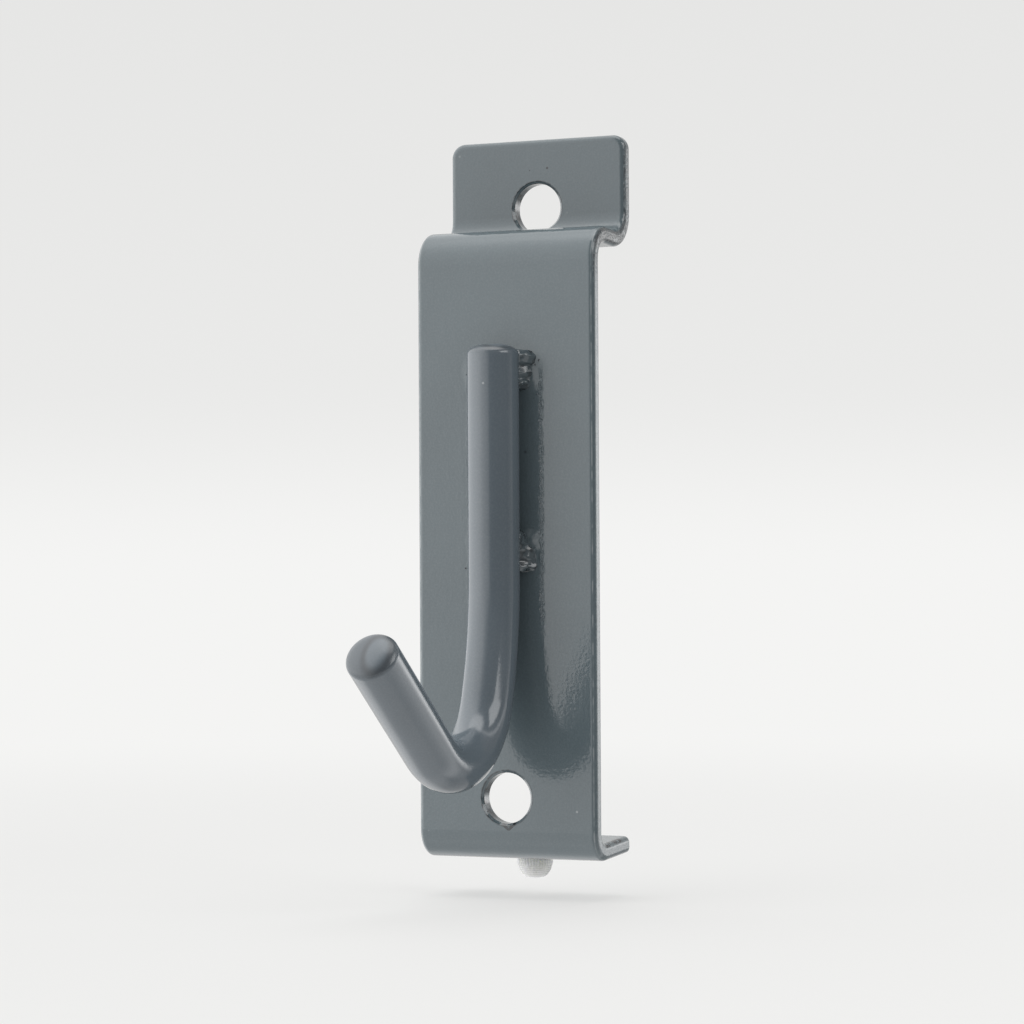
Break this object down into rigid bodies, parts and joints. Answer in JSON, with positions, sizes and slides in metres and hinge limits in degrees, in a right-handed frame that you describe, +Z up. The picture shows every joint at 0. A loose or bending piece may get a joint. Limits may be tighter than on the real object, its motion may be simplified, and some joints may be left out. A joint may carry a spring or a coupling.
{
  "type": "slatwall hook",
  "caption": "Folded steel plate with a hanging tongue and a foot, carrying a round bar bent to a J that rises at an angle.",
  "frame": {"origin": "middle of the back plate's flat rear face", "axes": "+Y back into the wall, +Z up, +X across the plate, to the right seen from the front"},
  "size_m": [0.024, 0.0517, 0.0933],
  "materials": {
    "coated_steel": "semi-gloss slate grey powder coat",
    "clear_plastic": "translucent moulded plastic"
  },
  "bodies": {
    "root": {"back_plate": "coated_steel", "hook_rod": "coated_steel", "upper_weld": "coated_steel", "lower_weld": "coated_steel", "foot_plug": "clear_plastic"}
  },
  "joints": []
}
